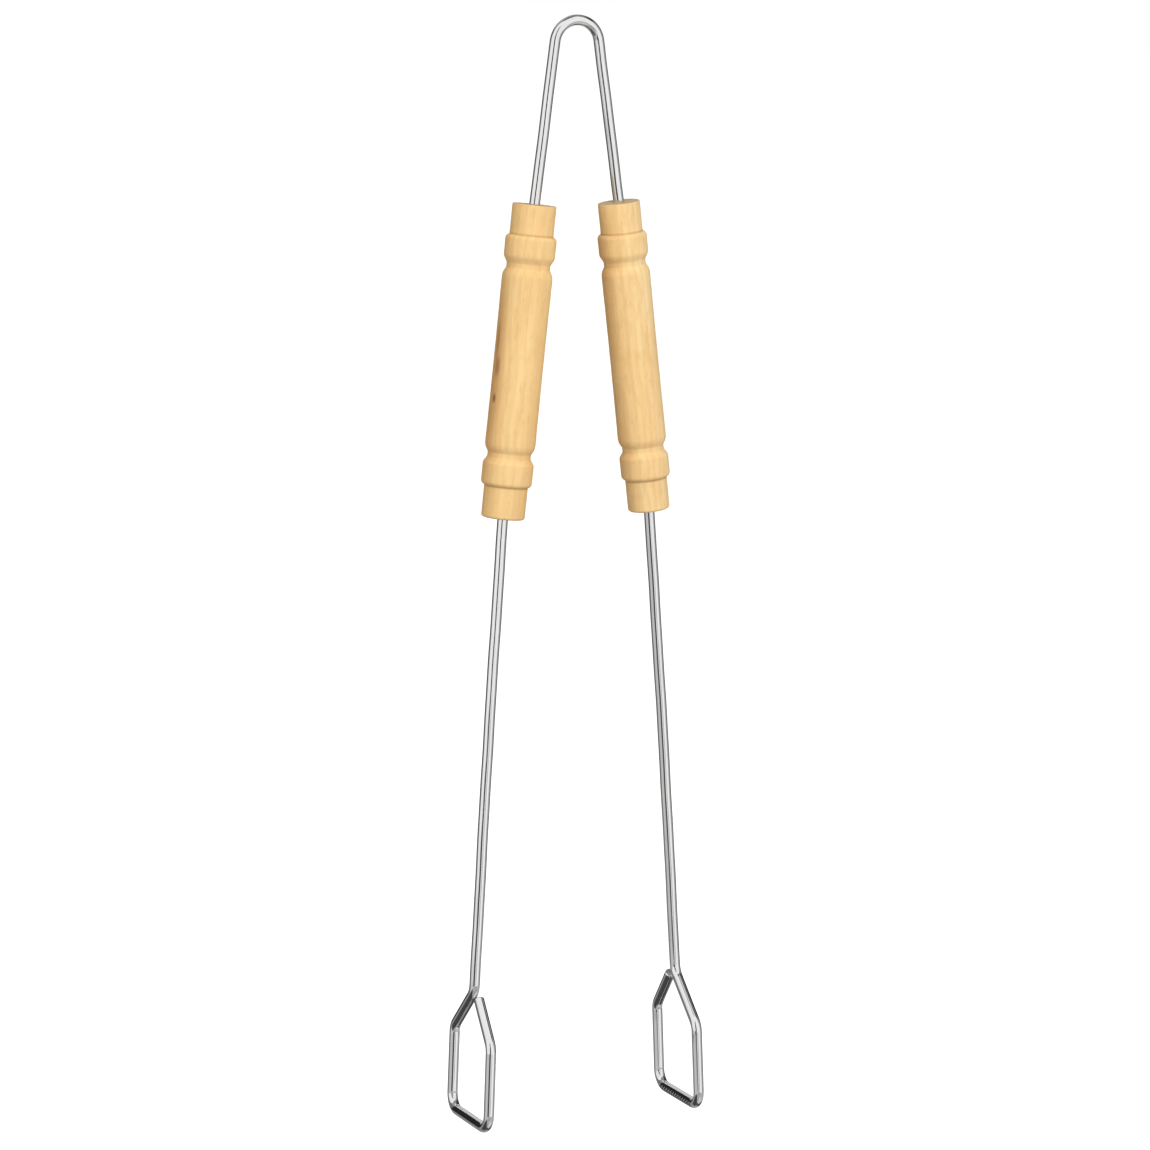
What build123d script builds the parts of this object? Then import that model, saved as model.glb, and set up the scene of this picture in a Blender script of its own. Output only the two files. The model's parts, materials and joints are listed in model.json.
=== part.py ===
from build123d import *

import os
from math import cos, radians, sin, tan

# Spring-wire barbecue tongs with a turned wooden handle on each leg, hanging by the bow.
# Millimetres and degrees. +Z is up, towards the bow, X runs from the left leg to the right
# leg, and the origin is the centre of the bow's bend. Leg angles are taken from straight
# down, outwards. The left half is the right half turned half round about Z.

# ---- the wire ----
wire_diameter = 4.0

# ---- the bow, the U-bend at the top ----
bow_radius = 8.9  # to the wire's centreline

# ---- the legs ----
upper_leg_length = 60.2  # from the end of the bow to the bend above the handle
upper_leg_angle = 7.8
handle_angle = 6.3  # of the straight wire inside the handle
lower_leg_length = 180.7  # from the bend below the handle to the top corner of the loop
lower_leg_top_angle = 4.1
lower_leg_foot_angle = 3.4
leg_kink_radius = 20.0  # of the slight bends that keep a handle from sliding
lower_leg_bow_radius = 6000.0  # of the long shallow curve in the lower leg

# ---- the five-sided loops, sizes to the wire's centreline ----
loop_tilt = 2.2
loop_shoulder_half_width = 18.4
loop_shoulder_drop = 17.4
loop_bar_half_width = 18.55
loop_depth = 49.5
loop_end_gap = 0.7  # between the free end and the wire of the leg's bend
loop_end_drop = 1.8
loop_lead = 5.0  # leg wire above the top corner that belongs to the loop
loop_top_radius = 7.0
loop_shoulder_radius = 6.0
loop_foot_radius = 6.0

# ---- the teeth across the inner side of each loop's bottom bar ----
tooth_count = 14
tooth_pitch = 2.1
tooth_groove_width = 1.5
tooth_depth = 0.55
tooth_lean = 15.0  # how far below straight inwards the teeth face

# ---- the turned handles: places along the axis are from the upper end ----
handle_length = 117.5
handle_end_gap = 0.5  # between a handle's end and the bend in the wire
bore_clearance = 0.08  # on the radius, so that the handle turns on the wire
plain_radius = 8.05  # of the plain stretch at each end
collar_radius = 9.4
groove_radius = 8.0
barrel_end_radius = 9.3
barrel_waist_radius = 9.12
turning_difference = 0.15  # the left handle is this much over and the right one under
upper_plain_length = 11.4
upper_collar_length = 8.3
upper_groove_length = 6.5
lower_groove_length = 6.0
lower_collar_length = 8.7
lower_plain_length = 12.0
groove_floor_length = 1.8
collar_slope = 0.9  # how far a collar's end leans, beside the plain stretch

# ---- the roundings along a handle's outline ----
upper_edge_radius = 0.4
lower_edge_radius = 1.0
step_radius = 0.3  # in the corner between a plain stretch and its collar
collar_end_round = 1.6
collar_groove_round = 3.0
groove_round = 1.5
barrel_round = 5.5
barrel_waist_round = 4000.0

wire_radius = wire_diameter / 2
Y_AXIS = Vector(0, 1, 0)


def down_and_out(angle):
    """Unit direction pointing down in the XZ plane and leaning towards +X by angle."""
    return Vector(sin(radians(angle)), 0, -cos(radians(angle)))


def rounded_path(points, radii):
    """Straight runs through the points, with a tangent arc of its own radius at each inner one."""
    edges, here = [], points[0]
    for before, corner, after, radius in zip(points, points[1:], points[2:], radii):
        back = (before - corner).normalized()
        onward = (after - corner).normalized()
        half_turn = radians(180 - back.get_angle(onward)) / 2
        start = corner + back * radius * tan(half_turn)
        end = corner + onward * radius * tan(half_turn)
        middle = corner + (back + onward).normalized() * radius * (1 / cos(half_turn) - 1)
        edges += [Line(here, start), ThreePointArc(start, middle, end)]
        here = end
    return Wire(edges + [Line(here, points[-1])])


def wire_along(path):
    """Round wire swept along a path of straight runs and arcs."""
    return sweep(Plane(origin=path @ 0, z_dir=path % 0) * Circle(wire_radius), path=path)


# ---- corners of the right half's centreline, from the bow down to the loop ----
bow_half_turn = 90 - upper_leg_angle
bow_end = Vector(sin(radians(bow_half_turn)), 0, cos(radians(bow_half_turn))) * bow_radius
handle_run = handle_length + 2 * handle_end_gap
upper_kink = bow_end + down_and_out(upper_leg_angle) * upper_leg_length
lower_kink = upper_kink + down_and_out(handle_angle) * handle_run
leg_middle = lower_kink + down_and_out(lower_leg_top_angle) * lower_leg_length / 2
loop_top = leg_middle + down_and_out(lower_leg_foot_angle) * lower_leg_length / 2
loop_start = loop_top - down_and_out(lower_leg_foot_angle) * loop_lead
handle_top = upper_kink + down_and_out(handle_angle) * handle_end_gap
loop_down = down_and_out(loop_tilt)


def make_bow():
    """The bend at the top, from one leg to the other."""
    mirrored_end = Vector(-bow_end.X, 0, bow_end.Z)
    return wire_along(Wire([ThreePointArc(mirrored_end, Vector(0, 0, bow_radius), bow_end)]))


def make_arm_wire():
    """The leg from the bow, through the handle's bore, to the start of the loop."""
    corners = [bow_end, upper_kink, lower_kink, leg_middle, loop_start]
    return wire_along(rounded_path(corners, [leg_kink_radius, leg_kink_radius, lower_leg_bow_radius]))


def cut_teeth(loop):
    """Pressed V grooves across the inner side of the bottom bar."""
    inwards = Vector(-cos(radians(loop_tilt)), 0, -sin(radians(loop_tilt)))
    facing = inwards * cos(radians(tooth_lean)) + loop_down * sin(radians(tooth_lean))
    surface = loop_top + loop_down * loop_depth + facing * wire_radius
    plane = Plane(origin=surface, x_dir=Y_AXIS, z_dir=Y_AXIS.cross(facing))
    overshoot = tooth_depth  # carries each V clear of the wire's surface
    half_mouth = tooth_groove_width / 2 * (tooth_depth + overshoot) / tooth_depth
    for index in range(tooth_count):
        middle = (index - (tooth_count - 1) / 2) * tooth_pitch
        corners = [
            (middle - half_mouth, overshoot),
            (middle + half_mouth, overshoot),
            (middle, -tooth_depth),
        ]
        groove = plane * Polygon(*corners, align=None)
        loop = loop - extrude(groove, amount=wire_diameter, both=True)
    return loop


def make_loop():
    """The right loop: down the -Y side, along the bottom bar and back up to the free end."""

    def corner(across, drop):
        return loop_top + loop_down * drop + Y_AXIS * across

    corners = [
        loop_start,
        loop_top,
        corner(-loop_shoulder_half_width, loop_shoulder_drop),
        corner(-loop_bar_half_width, loop_depth),
        corner(loop_bar_half_width, loop_depth),
        corner(loop_shoulder_half_width, loop_shoulder_drop),
        corner(wire_diameter + loop_end_gap, loop_end_drop),
    ]
    radii = [
        loop_top_radius,
        loop_shoulder_radius,
        loop_foot_radius,
        loop_foot_radius,
        loop_shoulder_radius,
    ]
    return cut_teeth(wire_along(rounded_path(corners, radii)))


def make_handle(oversize):
    """Turned handle on the right leg, with oversize added to every outer radius."""
    upper_collar_end = upper_plain_length + upper_collar_length
    barrel_start = upper_collar_end + upper_groove_length
    lower_collar_end = handle_length - lower_plain_length
    lower_collar_start = lower_collar_end - lower_collar_length
    barrel_end = lower_collar_start - lower_groove_length
    upper_groove = (upper_collar_end + barrel_start) / 2
    lower_groove = (lower_collar_start + barrel_end) / 2
    half_floor = groove_floor_length / 2
    bore_radius = wire_radius + bore_clearance
    outline = [
        (bore_radius, 0, 0),
        (plain_radius + oversize, 0, upper_edge_radius),
        (plain_radius + oversize, upper_plain_length, step_radius),
        (collar_radius + oversize, upper_plain_length + collar_slope, collar_end_round),
        (collar_radius + oversize, upper_collar_end, collar_groove_round),
        (groove_radius + oversize, upper_groove - half_floor, groove_round),
        (groove_radius + oversize, upper_groove + half_floor, groove_round),
        (barrel_end_radius + oversize, barrel_start, barrel_round),
        (barrel_waist_radius + oversize, (barrel_start + barrel_end) / 2, barrel_waist_round),
        (barrel_end_radius + oversize, barrel_end, barrel_round),
        (groove_radius + oversize, lower_groove - half_floor, groove_round),
        (groove_radius + oversize, lower_groove + half_floor, groove_round),
        (collar_radius + oversize, lower_collar_start, collar_groove_round),
        (collar_radius + oversize, lower_collar_end - collar_slope, collar_end_round),
        (plain_radius + oversize, lower_collar_end, step_radius),
        (plain_radius + oversize, handle_length, lower_edge_radius),
        (bore_radius, handle_length, 0),
    ]
    points = [Vector(radius, 0, -place) for radius, place, _ in outline]
    outer = rounded_path(points, [rounding for _, _, rounding in outline[1:-1]])
    section = make_face(Wire(outer.edges() + [Line(points[-1], points[0])]))
    on_the_leg = Plane(origin=handle_top, x_dir=Y_AXIS, z_dir=-down_and_out(handle_angle))
    return on_the_leg * revolve(section, Axis.Z)


half_round = Rot(0, 0, 180)

nodes = {
    "bow": make_bow(),
    "right_arm_wire": make_arm_wire(),
    "right_jaw_loop": make_loop(),
    "right_handle": make_handle(-turning_difference),
}
nodes["left_arm_wire"] = half_round * nodes["right_arm_wire"]
nodes["left_jaw_loop"] = half_round * nodes["right_jaw_loop"]
nodes["left_handle"] = half_round * make_handle(turning_difference)

os.makedirs("parts", exist_ok=True)
for name, shape in nodes.items():
    export_step(shape, f"parts/{name}.step")
    size = shape.bounding_box().size
    print(f"{name:16s} {size.X:7.2f} {size.Y:7.2f} {size.Z:7.2f} mm, {shape.volume:9.1f} mm3")

print(f"handle middle {handle_top + down_and_out(handle_angle) * handle_length / 2}")
print(f"handle axis {down_and_out(handle_angle)}, loop top {loop_top}")
print(f"bottom bar middle {loop_top + loop_down * loop_depth}")
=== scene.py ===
# %% [markdown]
# Spring-wire barbecue tongs, hanging by the bow. The real thing is one steel wire, bent into a
# U-shaped spring, two long legs and two five-sided jaws, with a turned wooden handle on each leg.
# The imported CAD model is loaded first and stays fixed. It settles every size and joint, and the
# pieces made below are the finer surfaces that are seen in its place, in metres, in its frame.

# %% Load the frame
import json
import math

import bmesh
import bpy
import numpy as np
from mathutils import Matrix, Vector


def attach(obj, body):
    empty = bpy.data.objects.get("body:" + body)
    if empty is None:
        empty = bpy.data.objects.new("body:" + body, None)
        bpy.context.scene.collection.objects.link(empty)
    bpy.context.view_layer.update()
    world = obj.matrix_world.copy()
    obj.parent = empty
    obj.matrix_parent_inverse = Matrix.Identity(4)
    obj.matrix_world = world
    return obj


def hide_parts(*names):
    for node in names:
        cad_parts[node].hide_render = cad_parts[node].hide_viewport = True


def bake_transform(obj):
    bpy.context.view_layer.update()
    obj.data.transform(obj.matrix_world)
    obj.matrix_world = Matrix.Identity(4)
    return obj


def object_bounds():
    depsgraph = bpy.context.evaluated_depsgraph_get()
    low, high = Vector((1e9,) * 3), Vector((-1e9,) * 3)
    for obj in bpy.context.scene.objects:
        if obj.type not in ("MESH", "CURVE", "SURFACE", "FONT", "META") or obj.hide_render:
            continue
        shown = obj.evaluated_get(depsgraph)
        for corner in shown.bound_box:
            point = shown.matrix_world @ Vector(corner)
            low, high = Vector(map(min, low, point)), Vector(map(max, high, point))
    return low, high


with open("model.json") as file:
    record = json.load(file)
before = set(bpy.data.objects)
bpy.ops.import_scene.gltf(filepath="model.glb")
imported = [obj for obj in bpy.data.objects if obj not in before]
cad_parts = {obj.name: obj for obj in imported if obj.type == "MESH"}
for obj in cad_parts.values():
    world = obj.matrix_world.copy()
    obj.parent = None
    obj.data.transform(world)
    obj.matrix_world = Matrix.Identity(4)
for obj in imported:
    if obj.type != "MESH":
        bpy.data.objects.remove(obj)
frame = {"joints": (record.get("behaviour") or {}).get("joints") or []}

cad_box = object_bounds()
print("CAD box in mm:", [[round(1000 * x, 1) for x in corner] for corner in cad_box])

# %% [markdown]
# The handles' joints give the two axes that everything else hangs on. A leg's straight stretch
# runs along its handle's axis, and a slight bend at each end of the handle keeps the wood from
# sliding. The rest of the wire could be traced from the CAD mesh, but a centreline made from a
# few lengths and angles is smoother and easier to change, so only the axis is read from the frame.

# %% Sizes of the wire
MM = 0.001
wire_radius = 2.0 * MM
bow_radius = 8.9 * MM
upper_leg_angle = 7.8  # leg angles are in degrees from straight down, outwards
lower_leg_length = 180.7 * MM
lower_leg_top_angle = 4.1
lower_leg_foot_angle = 3.4
handle_length = 117.5 * MM
handle_end_gap = 0.5 * MM

right_turn = next(joint for joint in frame["joints"] if joint["name"] == "right_handle_turn")
handle_axis = Vector(right_turn["axis"]).normalized()
handle_middle = Vector(right_turn["pos_m"])
print("handle axis", tuple(round(x, 4) for x in handle_axis))

# %% [markdown]
# The jaw is a loop of the same wire: down one side, across the bottom bar and back up to a free
# end beside the leg. Its corners are given as a distance across and a drop below the top corner,
# and each corner is rounded to the radius of the pin that the wire was bent round.

# %% Corners of the right half
loop_tilt = 2.2
loop_shoulder_half_width = 18.4 * MM
loop_shoulder_drop = 17.4 * MM
loop_bar_half_width = 18.55 * MM
loop_depth = 49.5 * MM
loop_end_gap = 0.7 * MM
loop_end_drop = 1.8 * MM


def down_and_out(angle):
    """Unit direction pointing down, leaning towards +X by an angle in degrees."""
    return Vector((math.sin(math.radians(angle)), 0, -math.cos(math.radians(angle))))


loop_down = down_and_out(loop_tilt)
half_run = handle_length / 2 + handle_end_gap
upper_kink = handle_middle - handle_axis * half_run
lower_kink = handle_middle + handle_axis * half_run
leg_middle = lower_kink + down_and_out(lower_leg_top_angle) * lower_leg_length / 2
loop_top = leg_middle + down_and_out(lower_leg_foot_angle) * lower_leg_length / 2


def loop_corner(across, drop):
    """A corner of the right jaw, across and below its top corner."""
    return loop_top + loop_down * drop + Vector((0, across, 0))


bar_middle = loop_corner(0, loop_depth)
print("jaw bar middle in mm:", [round(1000 * x, 2) for x in bar_middle])

# %% [markdown]
# A wire bender leaves straight runs joined by round bends, so the centreline is made the same
# way. A Bezier curve with a round bevel would be quicker, but it can't take teeth, dents or a
# flattened bend, so the stations along the wire are worked out here and skinned later.

# %% Stations along straight runs and round bends
arc_step = math.radians(4)


def walk(corners, radii, steps):
    """Points along the runs between the corners, with an arc at each inner corner."""
    points = [corners[0]]

    def go_to(target, step):
        start = points[-1]
        count = max(1, round((target - start).length / step))
        points.extend(start.lerp(target, (i + 1) / count) for i in range(count))

    for before, corner, after, radius, step in zip(corners, corners[1:], corners[2:], radii, steps):
        back = (before - corner).normalized()
        onward = (after - corner).normalized()
        turn = math.pi - back.angle(onward)
        go_to(corner + back * radius * math.tan(turn / 2), step)
        centre = corner + (back + onward).normalized() * radius / math.cos(turn / 2)
        axis = onward.cross(back).normalized()
        spoke = points[-1] - centre
        count = max(4, math.ceil(turn / arc_step), round(turn * radius / step))
        for i in range(count):
            points.append(centre + Matrix.Rotation(turn * (i + 1) / count, 3, axis) @ spoke)
    go_to(corners[-1], steps[-1])
    return points


# %% [markdown]
# The right half of the wire starts at the top of the bow and ends at the jaw's free end. Stations
# stand close together where the shape is fine: at the seam between the halves, round the jaw and
# most of all along the bottom bar, where the teeth will be pressed.

# %% Centreline of the right half
leg_kink_radius = 20 * MM
leg_bow_radius = 6000 * MM  # of the long shallow curve in the lower leg
loop_top_radius = 7 * MM
loop_corner_radius = 6 * MM
leg_step = 1.5 * MM
loop_step = 0.4 * MM
tooth_step = 0.15 * MM
seam_angles = [0, 0.1, 0.4, 1.2]  # close together, so that the two halves shade as one wire
bow_angles = seam_angles + list(np.linspace(3, 90 - upper_leg_angle, 34))
bow_points = [
    bow_radius * Vector((math.sin(math.radians(a)), 0, math.cos(math.radians(a))))
    for a in bow_angles
]
corners = [
    bow_points[-1],
    upper_kink,
    lower_kink,
    leg_middle,
    loop_top,
    loop_corner(-loop_shoulder_half_width, loop_shoulder_drop),
    loop_corner(-loop_bar_half_width, loop_depth),
    loop_corner(loop_bar_half_width, loop_depth),
    loop_corner(loop_shoulder_half_width, loop_shoulder_drop),
    loop_corner(2 * wire_radius + loop_end_gap, loop_end_drop),
]
radii = [leg_kink_radius, leg_kink_radius, leg_bow_radius, loop_top_radius]
radii += [loop_corner_radius] * 4
steps = [leg_step] * 4 + [loop_step, tooth_step, tooth_step, loop_step, loop_step]
centreline = np.array([list(p) for p in bow_points + walk(corners, radii, steps)[1:]])
wire_length = np.linalg.norm(np.diff(centreline, axis=0), axis=1).sum()
print(f"{len(centreline)} stations, half a wire is {1000 * wire_length:.1f} mm long")

# %% [markdown]
# A round skin needs a direction along the wire and a direction to its side at every station. The
# side direction is carried along without twisting, which keeps the drawn lines straight. Where
# the wire is bent tightly it flattens a little in the plane of the bend, as real wire does.

# %% Directions, and how tightly the wire bends
def unit(rows):
    """The rows as unit vectors."""
    return rows / np.linalg.norm(rows, axis=-1, keepdims=True)


def carried_sides(tangents, first_side):
    """A side direction at each station that turns with the wire and never twists about it."""
    sides = [np.array(first_side, float)]
    for tangent in tangents[1:]:
        side = sides[-1] - (sides[-1] @ tangent) * tangent
        sides.append(side / np.linalg.norm(side))
    return np.array(sides)


spans = np.diff(centreline, axis=0)
along = np.concatenate([[0], np.cumsum(np.linalg.norm(spans, axis=1))])
directions = unit(spans)
tangents = unit(np.vstack([directions[:1], directions[:-1] + directions[1:], directions[-1:]]))
tangents[0] = (1, 0, 0)
sides = carried_sides(tangents, (0, 1, 0))
uprights = np.cross(tangents, sides)

smoothing = 0.9 * MM
bend_rate = np.gradient(tangents, along, axis=0)
nearness = np.exp(-(((along[:, None] - along[None]) / smoothing) ** 2)) * np.gradient(along)
bend_rate = nearness @ bend_rate / nearness.sum(1, keepdims=True)
bend = bend_rate * loop_corner_radius  # points to the inside, about 1 long in a tight bend
print("bend from", np.round(np.linalg.norm(bend, axis=1).max(), 2), "down to 0")

# %% [markdown]
# Real wire is never dead straight, and it carries the marks of the bending pins on the inside of
# its tight bends. Both could be bump in the material, but a wire this bright shows its true shape
# in its reflections, so the wander and the nicks are pushed into the mesh itself.

# %% Slight wander
wander_reach = 0.04 * MM
slow_wave = 9 * MM
quick_wave = 3.7 * MM
leg_start = along[len(bow_points)]
handle_start = leg_start + (upper_kink - bow_points[-1]).length
handle_end = handle_start + 2 * half_run
jaw_start = handle_end + lower_leg_length


def between(distance, start, end, fade):
    """1 well between two places on the wire and 0 outside them, with a soft fade at each."""
    return np.clip((distance - start) * (end - distance) / fade**2, 0, 1)


def wander(distance, phase):
    """Sideways drift of a leg, none inside the handle or at the bow and fading out at the jaw."""
    above = between(distance, leg_start, handle_start, 20 * MM)
    below = between(distance, handle_end, jaw_start, 40 * MM)
    slow = np.sin(distance / slow_wave + phase)
    quick = 0.5 * np.sin(distance / quick_wave + 2.3 * phase)
    return wander_reach * (above + below) * (slow + quick)


print("the lower leg runs from", round(1000 * handle_end), "to", round(1000 * jaw_start), "mm")

# %% Bending marks
jaw_wire_length = 160 * MM
mark_depth = 0.035 * MM
mark_reach = 0.8 * MM
tight = np.linalg.norm(bend, axis=1) > 0.5
edges = np.flatnonzero(np.diff(tight.astype(int)))
marks = along[edges[along[edges] > along[-1] - jaw_wire_length]]  # both ends of each jaw bend
print("bending marks at mm:", np.round(1000 * marks, 1))

# %% [markdown]
# The skin is a ring of points at each station, joined by four-sided faces. Each point also keeps
# where it would be if the wire were still straight, which lets the material draw its lines along
# the wire.

# %% Skin the wire
ring_count = 64
ring_angles = np.arange(ring_count) * 2 * math.pi / ring_count
flattening = 0.03


def skin_points(phase):
    """Ring points of the right half, and the same points on a straight wire."""
    cos, sin = np.cos(ring_angles)[None, :, None], np.sin(ring_angles)[None, :, None]
    outward = cos * sides[:, None] + sin * uprights[:, None]
    inside = (outward * bend[:, None]).sum(-1)  # 1 on the inside of a tight bend, -1 outside
    reach = wire_radius * (1 - flattening * inside**2)
    for mark in marks:
        near = np.exp(-(((along - mark) / mark_reach) ** 2))[:, None]
        reach -= mark_depth * near * np.clip(1.6 * inside, 0, 1) ** 2
    middle = centreline + wander(along, phase)[:, None] * sides
    middle += wander(along, phase + 2)[:, None] * uprights
    points = middle[:, None] + outward * reach[..., None]
    straight = np.empty_like(points)
    straight[..., 0] = wire_radius * np.cos(ring_angles)
    straight[..., 1] = wire_radius * np.sin(ring_angles)
    straight[..., 2] = along[:, None]
    return points, straight


# %% [markdown]
# The free end is cut square. A sheared wire has a slightly rounded edge and a face that is a
# little hollow, which a few smaller rings give: each is set in from the rim, and set back from
# the end's plane.

# %% Cut the free end
cut_edge = 0.18 * MM
cut_rings = [(0.35, 0.92), (0.75, 0.55), (1.2, 0.0), (4.0, 0.10), (8.0, 0.25)]


def add_cut_end(points, straight):
    """Adds the rings of the cut end, each set in and set back by so many cut edges."""
    onward = tangents[-1] * cut_edge
    rim, centre = points[-1].copy(), points[-1].mean(0)
    points[-1] -= onward
    rings, plain = [points], [straight]
    for inset, setback in cut_rings:
        share = 1 - inset * cut_edge / wire_radius
        rings.append((centre + (rim - centre) * share - onward * setback)[None])
        plain.append((straight[-1] * [share, share, 1] + [0, 0, cut_edge])[None])
    return np.concatenate(rings), np.concatenate(plain)


# %% [markdown]
# The grip is a row of V-shaped teeth pressed across the inner side of the jaw's bottom bar. They
# could be a wavy bump, but they show against the light at the bar's lower edge, so every point
# of the skin that stands proud of a V is pushed down to it, exactly where the CAD model cuts it.

# %% Press the teeth
tooth_count = 14
tooth_pitch = 2.1 * MM
tooth_width = 1.5 * MM
tooth_depth = 0.55 * MM
tooth_lean = math.radians(15)
bar_half_length = 15 * MM
bar_half_height = 3.5 * MM
inwards = -Vector((math.cos(math.radians(loop_tilt)), 0, math.sin(math.radians(loop_tilt))))
teeth_face = np.array(inwards * math.cos(tooth_lean) + loop_down * math.sin(tooth_lean))


def press_teeth(points):
    """Pushes the skin of the bottom bar down to the V-shaped grooves."""
    from_bar = points - np.array(bar_middle)
    height, across, drop = from_bar @ teeth_face, from_bar[..., 1], from_bar @ np.array(loop_down)
    place = across / tooth_pitch + (tooth_count - 1) / 2
    nearest = np.clip(np.round(place), 0, tooth_count - 1)
    aside = np.abs(place - nearest) * tooth_pitch
    floor = wire_radius - tooth_depth * (1 - np.minimum(aside / (tooth_width / 2), 1.5))
    on_bar = (np.abs(drop) < bar_half_height) & (np.abs(across) < bar_half_length)
    proud = np.where(on_bar, np.maximum(height - floor, 0), 0)
    points -= proud[..., None] * teeth_face
    return int((proud > 0).sum())


# %% [markdown]
# Points and faces become a mesh object in one helper, which the handles use as well. Every point
# can carry named values for the materials to read. The left wire is the right one turned half
# round the vertical axis, with its own wander.

# %% Turn points into a mesh object
def mesh_object(name, points, faces, **attributes):
    """A smooth mesh object from its points and faces, with a value at each point by name."""
    mesh = bpy.data.meshes.new(name)
    mesh.from_pydata(points.tolist(), [], faces)
    mesh.update()
    for key, values in attributes.items():
        kind, field = ("FLOAT_VECTOR", "vector") if values.ndim == 2 else ("FLOAT", "value")
        layer = mesh.attributes.new(key, kind, "POINT")
        layer.data.foreach_set(field, values.astype("f4").ravel())
    shape = bmesh.new()
    shape.from_mesh(mesh)
    bmesh.ops.recalc_face_normals(shape, faces=shape.faces)
    for face in shape.faces:
        face.smooth = True
    shape.to_mesh(mesh)
    shape.free()
    made = bpy.data.objects.new(name, mesh)
    bpy.context.scene.collection.objects.link(made)
    return made


def ring_faces(rows, columns, closed=False):
    """Four-sided faces between neighbouring rings of points."""
    last = rows if closed else rows - 1
    return [
        (
            row * columns + column,
            row * columns + (column + 1) % columns,
            (row + 1) % rows * columns + (column + 1) % columns,
            (row + 1) % rows * columns + column,
        )
        for row in range(last)
        for column in range(columns)
    ]


# %% Make both wires
half_round = np.array([-1, -1, 1])


def make_wire(side, phase):
    """One half of the wire, from the top of the bow to the jaw's free end."""
    points, straight = skin_points(phase)
    pressed = press_teeth(points)
    points, straight = add_cut_end(points, straight)
    rows = len(points)
    if side == "left":
        points = points * half_round
    faces = ring_faces(rows, ring_count)
    faces.append(tuple(range((rows - 1) * ring_count, rows * ring_count)))
    wire = mesh_object(
        f"{side}_wire", points.reshape(-1, 3), faces, drawn=straight.reshape(-1, 3)
    )
    print(wire.name, len(faces), "faces,", pressed, "points pressed into the teeth")
    return wire


right_wire = make_wire("right", 0.4)
left_wire = make_wire("left", 2.9)

# %% [markdown]
# The bow is the spring. Each new half of the wire stands in for the CAD model's bow, arm wire and
# jaw loop on its side, which are hidden, and its placing is baked into its mesh.

# %% Hide the CAD wire parts and bake the new wires in place
for wire, side, sign in ((right_wire, "right", 1), (left_wire, "left", -1)):
    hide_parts("bow", f"{side}_arm_wire", f"{side}_jaw_loop")
    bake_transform(wire)

# %% [markdown]
# A material is a tree of shader nodes. Both finishes here need the same few: noise that is
# stretched one way, a value graded from nothing to full, and patterns laid over one another like
# coats of stain. Small helpers for these keep the recipes short enough to read.

# %% Helpers for building materials
def add_node(tree, kind, inputs=None, **settings):
    """Adds a shader node, sets its properties, and sets or links its inputs."""
    made = tree.nodes.new(kind)
    for key, value in settings.items():
        setattr(made, key, value)
    for socket, value in (inputs or {}).items():
        if isinstance(value, bpy.types.NodeSocket):
            tree.links.new(value, made.inputs[socket])
        else:
            made.inputs[socket].default_value = value
    return made


def new_material(name):
    """A material with its tree and its surface shader."""
    material = bpy.data.materials.new(name)
    material.use_nodes = True
    return material, material.node_tree, material.node_tree.nodes["Principled BSDF"]


def kept_value(tree, name, output="Fac"):
    """A value that the mesh keeps at every point."""
    return add_node(tree, "ShaderNodeAttribute", attribute_name=name).outputs[output]


def number_math(tree, operation, *numbers):
    """A sum, a product and so on, worked out at every point."""
    made = add_node(tree, "ShaderNodeMath", dict(enumerate(numbers)), operation=operation)
    return made.outputs[0]


def vector_math(tree, operation, *vectors):
    """The same for places and directions. The length is a number."""
    made = add_node(tree, "ShaderNodeVectorMath", dict(enumerate(vectors)), operation=operation)
    return made.outputs["Value" if operation == "LENGTH" else "Vector"]


# %% Noise, grading and coats
def stretched_noise(tree, place, scales, detail):
    """Noise with its own number of features per metre along each axis, from 0 to 1."""
    noise = add_node(
        tree,
        "ShaderNodeTexNoise",
        {"Vector": vector_math(tree, "MULTIPLY", place, scales),
         "Scale": 1.0, "Detail": detail, "Roughness": 0.55},
    )
    return noise.outputs["Fac"]


def graded(tree, value, low, high, out_low=0.0, out_high=1.0):
    """Maps a value between low and high, held at the ends, to a new range."""
    ranged = add_node(
        tree,
        "ShaderNodeMapRange",
        {"Value": value, "From Min": low, "From Max": high, "To Min": out_low, "To Max": out_high},
        interpolation_type="SMOOTHSTEP",
    )
    return ranged.outputs["Result"]


def blend_colours(tree, share, first, second):
    """Mixes two colours by a share from 0 to 1."""
    mixed = add_node(tree, "ShaderNodeMix", {"Factor": share, 6: first, 7: second}, data_type="RGBA")
    return mixed.outputs[2]


def add_coats(tree, tone, coats):
    """Lays colours over a tone, each with a pattern, where it starts and is full, and a strength."""
    for pattern, start, full, strength, colour in coats:
        share = graded(tree, pattern, start, full, 0.0, strength)
        tone = blend_colours(tree, share, tone, colour)
    return tone


# %% [markdown]
# The wire is bright plated steel: almost a mirror, with faint lines along it from the drawing
# die, small clouds where the plating is duller, and a few specks. A metallic surface with noise
# stretched along the wire gives all three. The noise reads the straightened wire's coordinates.

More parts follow.
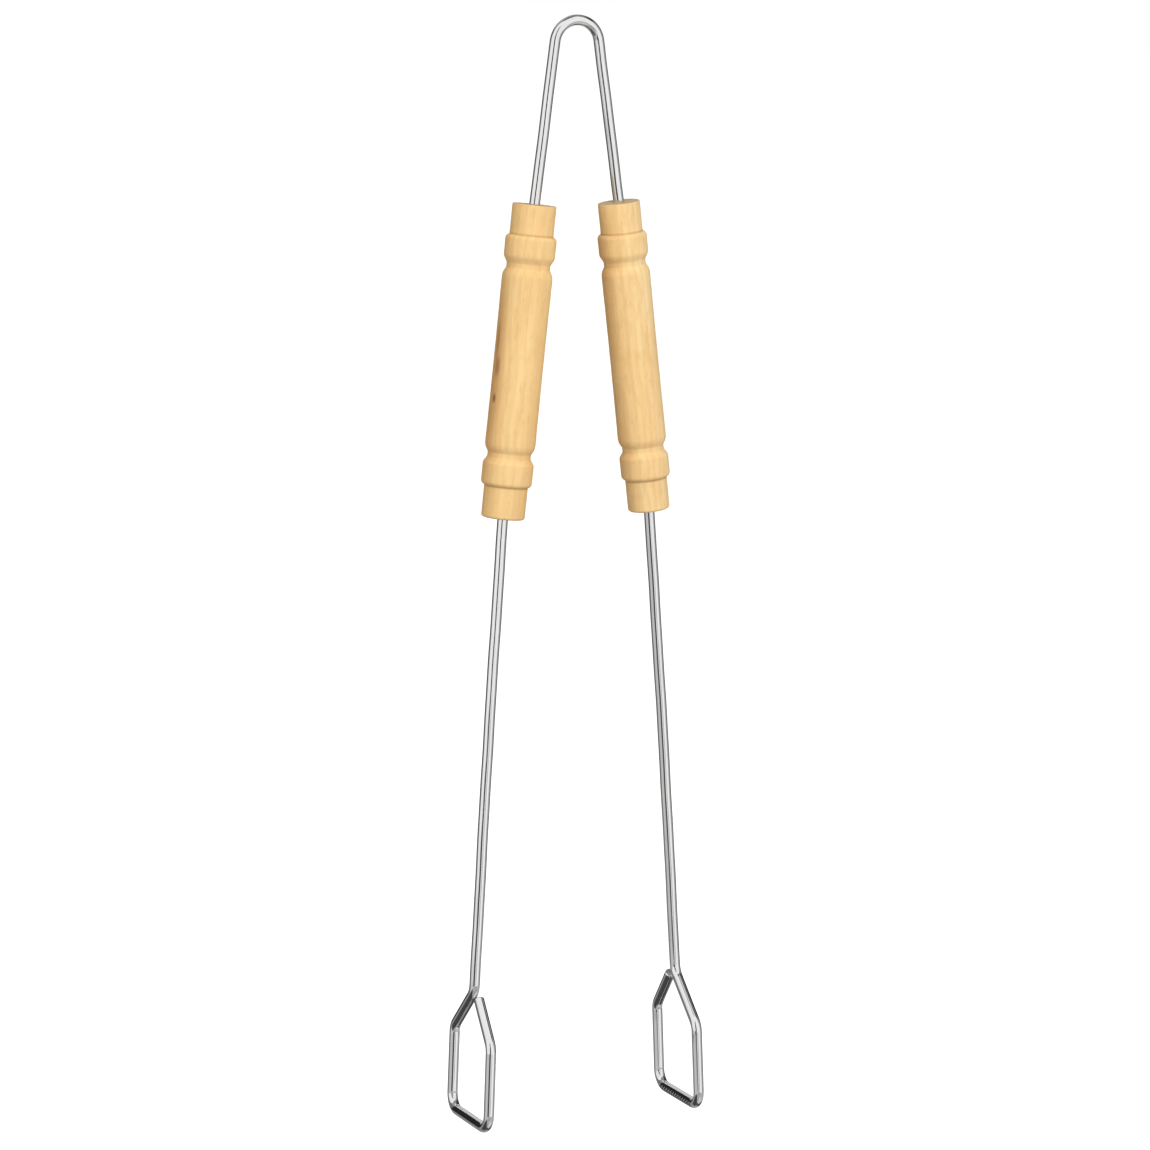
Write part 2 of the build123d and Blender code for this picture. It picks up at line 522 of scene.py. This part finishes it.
# %% Bright steel
def bright_steel():
    """Plated steel wire: a soft mirror with drawn lines, dull clouds and specks."""
    material, tree, surface = new_material("bright_steel")
    surface.inputs["Metallic"].default_value = 1.0
    place = kept_value(tree, "drawn", "Vector")
    lines = stretched_noise(tree, place, (2600, 2600, 45), detail=4.0)
    clouds = stretched_noise(tree, place, (330, 330, 110), detail=2.0)
    specks = stretched_noise(tree, place, (1900, 1900, 1500), detail=1.0)
    tone = add_coats(tree, (0.80, 0.80, 0.80, 1), [
        (lines, 0.35, 0.65, 1.0, (0.87, 0.87, 0.865, 1)),
        (clouds, 0.45, 0.75, 0.4, (0.76, 0.76, 0.765, 1)),
        (specks, 0.70, 0.78, 0.6, (0.42, 0.42, 0.42, 1)),
    ])
    tree.links.new(tone, surface.inputs["Base Color"])
    line_dulling = graded(tree, lines, 0.3, 0.7, 0.05, 0.09)
    cloud_dulling = graded(tree, clouds, 0.4, 0.8, 0.0, 0.05)
    roughness = number_math(tree, "ADD", line_dulling, cloud_dulling)
    tree.links.new(roughness, surface.inputs["Roughness"])
    relief = {"Height": lines, "Strength": 0.08, "Distance": 0.02 * MM}
    bump = add_node(tree, "ShaderNodeBump", relief)
    tree.links.new(bump.outputs[0], surface.inputs["Normal"])
    return material


steel = bright_steel()
for wire in (right_wire, left_wire):
    wire.data.materials.append(steel)
print(steel.name, "has", len(steel.node_tree.nodes), "nodes")

# %% [markdown]
# Each handle is turned on a lathe from one blank: a plain end, a rounded collar, a groove, a long
# barrel, and the same again the other way up. Its outline is a list of radii at places along the
# axis, each corner rounded as the tool and the sandpaper left it, spun about the drilled bore.

# %% Sizes of a handle, places from its upper end
plain_radius = 8.05 * MM
collar_radius = 9.4 * MM
groove_radius = 8.0 * MM
barrel_end_radius = 9.3 * MM
barrel_waist_radius = 9.12 * MM
bore_radius = wire_radius + 0.08 * MM
turning_difference = 0.15 * MM
upper_collar = (11.4 * MM, 19.7 * MM)
barrel = (26.2 * MM, 90.8 * MM)
lower_collar = (96.8 * MM, 105.5 * MM)
half_floor = 0.9 * MM
collar_slope = 0.9 * MM
bore_lead = 4 * MM

bore_edge_round = 0.15 * MM
upper_edge_round = 0.4 * MM
lower_edge_round = 1.0 * MM
step_round = 0.3 * MM
collar_end_round = 1.6 * MM
collar_groove_round = 3.0 * MM
lower_collar_top_round = 1.2 * MM
groove_round = 1.5 * MM
barrel_round = 5.5 * MM
barrel_waist_round = 4000 * MM
print("the barrel is", round(1000 * (barrel[1] - barrel[0]), 1), "mm long")


# %% Outline of a handle
def handle_outline(oversize):
    """Radius, place and rounding at each corner of a handle's outline, from the upper bore."""
    upper_groove = (upper_collar[1] + barrel[0]) / 2
    lower_groove = (barrel[1] + lower_collar[0]) / 2
    waist = (barrel[0] + barrel[1]) / 2
    plain, collar = plain_radius + oversize, collar_radius + oversize
    groove, end = groove_radius + oversize, barrel_end_radius + oversize
    return [
        (bore_radius, bore_lead, 0),
        (bore_radius, 0, bore_edge_round),
        (plain, 0, upper_edge_round),
        (plain, upper_collar[0], step_round),
        (collar, upper_collar[0] + collar_slope, collar_end_round),
        (collar, upper_collar[1], collar_groove_round),
        (groove, upper_groove - half_floor, groove_round),
        (groove, upper_groove + half_floor, groove_round),
        (end, barrel[0], barrel_round),
        (barrel_waist_radius + oversize, waist, barrel_waist_round),
        (end, barrel[1], barrel_round),
        (groove, lower_groove - half_floor, groove_round),
        (groove, lower_groove + half_floor, groove_round),
        (collar, lower_collar[0], lower_collar_top_round),
        (collar, lower_collar[1] - collar_slope, collar_end_round),
        (plain, lower_collar[1], step_round),
        (plain, handle_length, lower_edge_round),
        (bore_radius, handle_length, bore_edge_round),
        (bore_radius, handle_length - bore_lead, 0),
    ]


# %% [markdown]
# The outline becomes a row of points, with the faint ripple that a turning tool leaves. Two
# things are marked on the way for the wood's colour: the sharp corner beside each collar, which is
# darkened with painted shade and with the dust and wax that gather there, and the sawn ends, where
# the grain drinks the wax and goes darker.

# %% Profile of a handle
outline_step = 0.6 * MM
ripple_height = 0.012 * MM
crease_reach = 0.45 * MM, 0.5 * MM  # out from the axis, and along it
end_grain_reach = 0.25 * MM
step_corners = [(plain_radius, upper_collar[0]), (plain_radius, lower_collar[1])]


def turned_profile(oversize):
    """Radius and place of every ring of a handle, with the ripple of the turning."""
    outline = handle_outline(oversize)
    points = [Vector((radius, 0, place)) for radius, place, _ in outline]
    roundings = [rounding for _, _, rounding in outline[1:-1]]
    profile = np.array(walk(points, roundings, [outline_step] * len(outline)))
    radius, place = profile[:, 0], profile[:, 2]
    worked = np.clip((radius - bore_radius) / (2 * MM), 0, 1)
    slow = np.sin(place / (1.7 * MM))
    quick = np.sin(place / (0.61 * MM) + oversize / (0.05 * MM))
    return radius + worked * ripple_height * (slow + quick), place


def crease_at(radius, place, oversize):
    """How near each ring is to the corner beside a collar, from 0 to 1: the share of painted shade
    and dust there.
    """
    crease = np.zeros_like(radius)
    for corner_radius, corner_place in step_corners:
        out = (radius - corner_radius - oversize) / crease_reach[0]
        up = (place - corner_place) / crease_reach[1]
        crease += np.exp(-(out**2 + up**2))
    return crease


# %% [markdown]
# Spinning the profile gives the handle. The two are turned by hand and eye, so one comes out a
# little thicker than the other. Each is cut from its own part of the board, and its points keep
# their place in the board, so that the grain runs through the solid and differs between them.

# %% Spin a handle
turn_count = 128


def spin_handle(name, axis, middle, oversize, blank_turn, blank_place):
    """A turned handle. The blank's turn and place say which part of the board it came from."""
    radius, place = turned_profile(oversize)
    end_grain = 1 - np.minimum(place, handle_length - place) / end_grain_reach
    angles = np.arange(turn_count) * 2 * math.pi / turn_count
    local = np.empty((len(place), turn_count, 3))
    local[..., 0] = radius[:, None] * np.cos(angles)
    local[..., 1] = radius[:, None] * np.sin(angles)
    local[..., 2] = place[:, None] - handle_length / 2
    front = np.array([0.0, -1.0, 0.0])
    points = np.array(middle) + local @ np.array([front, np.cross(axis, front), axis])
    turned = np.array(Matrix.Rotation(math.radians(blank_turn), 3, "Z"))
    board = local @ turned.T + np.array(blank_place)
    handle = mesh_object(
        name,
        points.reshape(-1, 3),
        ring_faces(len(place), turn_count, closed=True),
        board=board.reshape(-1, 3),
        crease=np.repeat(crease_at(radius, place, oversize), turn_count),
        end_grain=np.repeat(np.clip(end_grain, 0, 1), turn_count),
    )
    print(name, len(handle.data.polygons), "faces")
    return handle


# %% Make both handles
right_axis, right_middle = np.array(handle_axis), np.array(handle_middle)
left_axis, left_middle = right_axis * half_round, right_middle * half_round
right_handle = spin_handle(
    "right_turned_handle", right_axis, right_middle, -turning_difference, 90, (0.015, 0.012, 0.31)
)
left_handle = spin_handle(
    "left_turned_handle", left_axis, left_middle, turning_difference, 0, (0, 0, 0)
)
for handle, side in ((right_handle, "right"), (left_handle, "left")):
    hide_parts(f"{side}_handle")
    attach(handle, f"{side}_handle")

# %% [markdown]
# The wood is a pale, even-grained softwood or limewood, sanded and left bare or thinly waxed. A
# solid pattern is used, as if each handle were cut from one board: growth rings about a distant
# pith, long fibres, short dark pores, and a brown streak with small knots in the left blank.
# An image wrapped round the handle would smear in the grooves and on the end grain.

# %% Growth rings
pith = (-0.060, 0.034, 0.0)
rings_per_metre = 430.0
ring_drift = 0.003


def growth_rings(tree, place):
    """Share of dark late wood, in slightly uneven rings about the pith."""
    uneven = add_node(tree, "ShaderNodeTexNoise", {"Vector": place, "Scale": 22.0, "Detail": 2.0})
    swing = (2 * ring_drift, 2 * ring_drift, 0.0)
    centring = (-ring_drift, -ring_drift, 0.0)
    drift = vector_math(tree, "MULTIPLY_ADD", uneven.outputs["Color"], swing, centring)
    from_pith = vector_math(tree, "SUBTRACT", vector_math(tree, "ADD", place, drift), pith)
    leaning = vector_math(tree, "MULTIPLY", from_pith, (1.0, 1.0, 0.012))
    reach = vector_math(tree, "LENGTH", leaning)
    ring = number_math(tree, "FRACT", number_math(tree, "MULTIPLY", reach, rings_per_metre))
    return graded(tree, ring, 0.25, 0.95)


# %% Streak and knots
knots = [
    # centre in the board, half size, colour, strength
    ((0.0005, 0.0098, 0.0020), (0.0050, 0.0045, 0.0400), (0.56, 0.26, 0.085, 1), 0.55),
    ((0.0006, 0.0092, -0.0075), (0.0012, 0.0030, 0.0075), (0.32, 0.15, 0.055, 1), 0.60),
    ((0.0018, 0.0090, 0.0020), (0.0017, 0.0022, 0.0044), (0.36, 0.17, 0.060, 1), 0.70),
    ((0.0018, 0.0090, 0.0140), (0.0011, 0.0020, 0.0021), (0.20, 0.09, 0.040, 1), 0.85),
]


def add_knots(tree, place, tone):
    """Stains the tone with the brown streak and the knots, each soft at its edge."""
    for centre, size, colour, strength in knots:
        away = vector_math(tree, "SUBTRACT", place, centre)
        spread = vector_math(tree, "MULTIPLY", away, [1 / s for s in size])
        inside = graded(tree, vector_math(tree, "LENGTH", spread), 0.25, 1.25, strength, 0.0)
        tone = blend_colours(tree, inside, tone, colour)
    return tone


# %% [markdown]
# The colour is built up like the real thing: a board that is warmer on one side, broad and fine
# streaks, the rings, the fibres and the pores, then the stains, and last painted shade with dust and
# wax in the corners beside the collars, and the darker sawn ends. The fibres also set the gloss and,
# with the pores, a fine relief.

# %% Colour of the wood
pale = (0.94, 0.75, 0.42, 1)
warm = (0.87, 0.565, 0.225, 1)


def wood_colour(tree, place, fibres, pores):
    """The wood's colour at every point."""
    streaks = stretched_noise(tree, place, (420, 420, 9), detail=3.0)
    broad = stretched_noise(tree, place, (110, 110, 14), detail=2.0)
    mottle = stretched_noise(tree, place, (520, 520, 170), detail=3.0)
    across_board = add_node(tree, "ShaderNodeSeparateXYZ", {0: place}).outputs["X"]
    tone = blend_colours(tree, graded(tree, across_board, -0.004, 0.026), warm, pale)
    tone = add_coats(tree, tone, [
        (broad, 0.40, 0.72, 0.60, (0.82, 0.50, 0.20, 1)),
        (streaks, 0.45, 0.72, 0.36, (0.76, 0.47, 0.19, 1)),
        (mottle, 0.45, 0.66, 0.34, (0.74, 0.46, 0.19, 1)),
        (growth_rings(tree, place), 0.0, 1.0, 0.18, (0.66, 0.40, 0.165, 1)),
        (fibres, 0.40, 0.70, 0.22, (0.95, 0.73, 0.42, 1)),
        (pores, 0.64, 0.76, 0.50, (0.50, 0.29, 0.12, 1)),
    ])
    return add_coats(tree, add_knots(tree, place, tone), [
        # painted shade in the corner beside each collar, together with the dust and wax that gather
        # there
        (kept_value(tree, "crease"), 0.10, 1.0, 0.50, (0.42, 0.23, 0.09, 1)),
        (kept_value(tree, "end_grain"), 0.0, 1.0, 0.60, (0.44, 0.31, 0.17, 1)),
    ])


# %% Pale turned wood
def pale_wood():
    """Bare turned wood, patterned through the solid by its place in the board."""
    material, tree, surface = new_material("pale_turned_wood")
    place = kept_value(tree, "board", "Vector")
    fibres = stretched_noise(tree, place, (2400, 2400, 55), detail=4.0)
    pores = stretched_noise(tree, place, (3000, 3000, 260), detail=2.0)
    tree.links.new(wood_colour(tree, place, fibres, pores), surface.inputs["Base Color"])
    surface.inputs["Specular IOR Level"].default_value = 0.35
    tree.links.new(graded(tree, fibres, 0.3, 0.7, 0.44, 0.56), surface.inputs["Roughness"])
    pits = graded(tree, pores, 0.66, 0.80, 0.0, -0.8)
    height = number_math(tree, "ADD", fibres, pits)
    relief = {"Height": height, "Strength": 0.35, "Distance": 0.05 * MM}
    bump = add_node(tree, "ShaderNodeBump", relief)
    tree.links.new(bump.outputs[0], surface.inputs["Normal"])
    return material


wood = pale_wood()
for handle in (right_handle, left_handle):
    handle.data.materials.append(wood)
print(wood.name, "has", len(wood.node_tree.nodes), "nodes")

# %% [markdown]
# The tongs hang above a plain pale floor, with white all round. The floor glows a little, as a
# lit acrylic sheet does, so that it stays even. The white surroundings are a large sphere that
# only the camera sees, so they add no light of their own.

# %% Directions and glowing surfaces
camera_azimuth = -23.2  # the studio's angles are counted from the camera's side, in degrees
middle = (cad_box[0] + cad_box[1]) / 2


def away_from_middle(azimuth, elevation):
    """Unit direction from the object at angles in degrees, plus to the camera's right."""
    a, e = np.radians(azimuth + camera_azimuth), np.radians(elevation)
    return np.stack([np.sin(a) * np.cos(e), -np.cos(a) * np.cos(e), np.sin(e)], axis=-1)


def plain_glow(name, strength, grey=0.0):
    """A plain material that glows white, and reflects diffusely if it is given a grey."""
    material, _, surface = new_material(name)
    surface.inputs["Base Color"].default_value = (grey, grey, grey, 1)
    surface.inputs["Specular IOR Level"].default_value = 0.0
    surface.inputs["Roughness"].default_value = 1.0
    surface.inputs["Emission Color"].default_value = (1, 1, 1, 1)
    surface.inputs["Emission Strength"].default_value = strength
    material.cycles.emission_sampling = "NONE"
    return material


print("middle of the tongs in mm:", [round(1000 * x, 1) for x in middle])

# %% [markdown]
# Every piece of the stage says which kinds of light ray meet it. The floor and the white sphere
# meet the camera's rays only, and the painted sphere of the next step meets glossy rays only, so
# the background, the reflections and the light on the wood can each be set without the others.

# %% Pieces of the stage
def stage_sheet(name, points, faces, material, camera=False, glossy=False):
    """A stage piece from points and faces, met only by the kinds of light ray that are named."""
    mesh = bpy.data.meshes.new(name)
    mesh.from_pydata([tuple(p) for p in points], [], faces)
    mesh.materials.append(material)
    made = bpy.data.objects.new(name, mesh)
    bpy.context.scene.collection.objects.link(made)
    made.visible_camera = camera
    made.visible_glossy = glossy
    made.visible_diffuse = False
    made.visible_shadow = False
    made.visible_transmission = False
    made.visible_volume_scatter = False
    return made


def sphere_points(radius, step):
    """Points on a sphere round the object, its faces, and each point's angles in degrees."""
    columns, rows = round(360 / step), round(180 / step) + 1
    rounds, heights = np.arange(columns) * step, np.linspace(-89.99, 89.99, rows)
    azimuth, elevation = np.meshgrid(rounds, heights)
    points = np.array(middle) + away_from_middle(azimuth, elevation).reshape(-1, 3) * radius
    return points, ring_faces(rows, columns), azimuth, elevation


# %% Floor and white surroundings
floor_reach = 60.0
floor_drop = 0.15
floor_level = cad_box[0].z - floor_drop
floor_corners = [
    (x * floor_reach, y * floor_reach, floor_level)
    for x, y in ((-1, -1), (1, -1), (1, 1), (-1, 1))
]
pale_floor = plain_glow("pale_floor", 0.75, 0.85)
stage_sheet("floor", floor_corners, [(0, 1, 2, 3)], pale_floor, camera=True)
points, faces, _, _ = sphere_points(radius=12.0, step=6)
stage_sheet("white_surroundings", points, faces, plain_glow("white_paper", 1.0), camera=True)
print("floor", round(1000 * floor_drop), "mm below the jaws")

# %% [markdown]
# Bright wire shows nothing but what stands round it, so the studio is built for its reflections.
# Two tall softboxes flank the camera with a dim gap between them, which draws the soft grey line
# down each leg. Dimmer walls and a dark corner further round draw the edges, and patches below
# and behind light the jaws. All of it is painted on one sphere with soft edges, which only glossy
# rays meet. A later panel covers an earlier one.

# %% Panels of the painted studio
wall_brightness = 0.06
panels = [
    # name, azimuth from and to, elevation from and to, edge softness, brightness
    ("lower_left_back", (-178, -120), (-62, -17), 5, 0.27),
    ("lower_left", (-125, -12), (-31, -8), 10, 0.36),
    ("lower_right", (4, 150), (-46, -6), 12, 0.48),
    ("lower_far_right", (12, 110), (-82, -44), 8, 0.66),
    ("lower_back", (160, 220), (-78, -40), 12, 0.36),
    ("upper_back", (90, 270), (52, 82), 10, 0.28),
    ("upper_left_back", (-178, -92), (32, 80), 8, 0.36),
    ("floor_in_front", (-34, 10), (-82, -20), 7, 0.42),
    ("wall_left", (-122, -86), (-24, 26), 5, 0.20),
    ("wall_right", (78, 124), (-24, 36), 6, 0.34),
    ("softbox_left", (-88, -14), (-14, 66), 5, 0.96),
    ("below_softbox_left", (-92, -14), (-29, -12), 5, 0.60),
    ("softbox_right", (2, 80), (-24, 66), 5, 0.98),
    ("softbox_top", (-72, 82), (42, 72), 10, 1.00),
    ("gap_by_the_camera", (-18, 4), (-9, 20), 4, 0.01),
    ("gap_below_the_camera", (-32, 3), (-21, -8), 4, 0.08),
    ("lamp_stand", (19, 29), (-34, -10), 4, 0.20),
    ("corner_left", (-165, -122), (-14, 28), 5, 0.02),
    ("corner_right", (124, 196), (-18, 48), 6, 0.02),
    ("back_wall_glow", (164, 204), (0, 40), 4, 0.66),
]
print(len(panels), "panels are painted round the tongs for the reflections")


# %% Painted reflections
def soft_step(distance, softness):
    """0 well outside an edge, 1 well inside it, smooth over the softness."""
    share = np.clip(distance / softness + 0.5, 0, 1)
    return share * share * (3 - 2 * share)


def painted_brightness(azimuth, elevation):
    """Brightness of the painted sphere at angles in degrees."""
    brightness = np.full(azimuth.shape, wall_brightness)
    for _, (left, right), (low, high), softness, value in panels:
        centre, half = (left + right) / 2, (right - left) / 2
        aside = np.abs((azimuth - centre + 180) % 360 - 180)
        cover = soft_step(half - aside, softness)
        cover = cover * soft_step(elevation - low, softness) * soft_step(high - elevation, softness)
        brightness += cover * (value - brightness)
    return brightness


points, faces, azimuth, elevation = sphere_points(radius=3.0, step=1.5)
paint = plain_glow("painted_studio", 1.0)
sphere = stage_sheet("painted_studio", points, faces, paint, glossy=True)
brightness = painted_brightness(azimuth, elevation)
glow = sphere.data.attributes.new("glow", "FLOAT", "POINT")
glow.data.foreach_set("value", brightness.ravel())
emission = paint.node_tree.nodes["Principled BSDF"].inputs["Emission Strength"]
paint.node_tree.links.new(kept_value(paint.node_tree, "glow"), emission)
print("painted from", round(brightness.min(), 2), "to", round(brightness.max(), 2))

# %% [markdown]
# The wood is lit by soft area lights that only diffuse rays see: a key from the front right and
# above, a weaker one from the left, and one overhead. The world gives a weak, slightly warm fill
# from every side. Faces that look down and to the left fall off gently, which shows the turning.

# %% Lights
world = bpy.data.worlds.new("soft_fill")
bpy.context.scene.world = world
world.use_nodes = True
world.node_tree.nodes["Background"].inputs["Color"].default_value = (1, 0.94, 0.87, 1)
world.node_tree.nodes["Background"].inputs["Strength"].default_value = 0.42


def soft_light(name, azimuth, elevation, distance, size, power):
    """A square area light, aimed at the middle of the object."""
    light = bpy.data.lights.new(name, "AREA")
    light.size = size
    light.energy = power
    lamp = bpy.data.objects.new(name, light)
    bpy.context.scene.collection.objects.link(lamp)
    away = Vector(away_from_middle(azimuth, elevation))
    lamp.location = middle + away * distance
    lamp.rotation_mode = "QUATERNION"
    lamp.rotation_quaternion = away.to_track_quat("Z", "Y")
    lamp.visible_glossy = False
    lamp.visible_camera = False
    print(name, "light of", power, "W")


lights = [
    # name, azimuth, elevation, distance, size, watts
    ("key", 30, 26, 2.2, 1.2, 34),
    ("side", -55, 20, 2.4, 1.2, 14),
    ("top", 10, 75, 2.0, 1.4, 2),
]
for values in lights:
    soft_light(*values)

# %% [markdown]
# The camera stands well back with a long lens, a little above the middle and to the left, so the
# legs hardly converge. The plain Standard view is used, so that white stays white.

# %% Camera
camera_elevation = 9.15
camera_distance = 1.736
camera_roll = 0.075
aim = middle + Vector((-0.48 * MM, 0.10 * MM, -0.61 * MM))
camera_data = bpy.data.cameras.new("camera")
camera_data.lens = 144.1
camera_data.sensor_width = 36.0
camera_data.clip_end = 200.0
camera = bpy.data.objects.new("camera", camera_data)
bpy.context.scene.collection.objects.link(camera)
back = Vector(away_from_middle(0, camera_elevation))
camera.location = aim + back * camera_distance
camera.rotation_mode = "QUATERNION"
rolled = Matrix.Rotation(math.radians(camera_roll), 3, "Z").to_quaternion()
camera.rotation_quaternion = back.to_track_quat("Z", "Y") @ rolled
bpy.context.scene.camera = camera
bpy.context.scene.view_settings.view_transform = "Standard"
print("camera at", [round(x, 3) for x in camera.location])
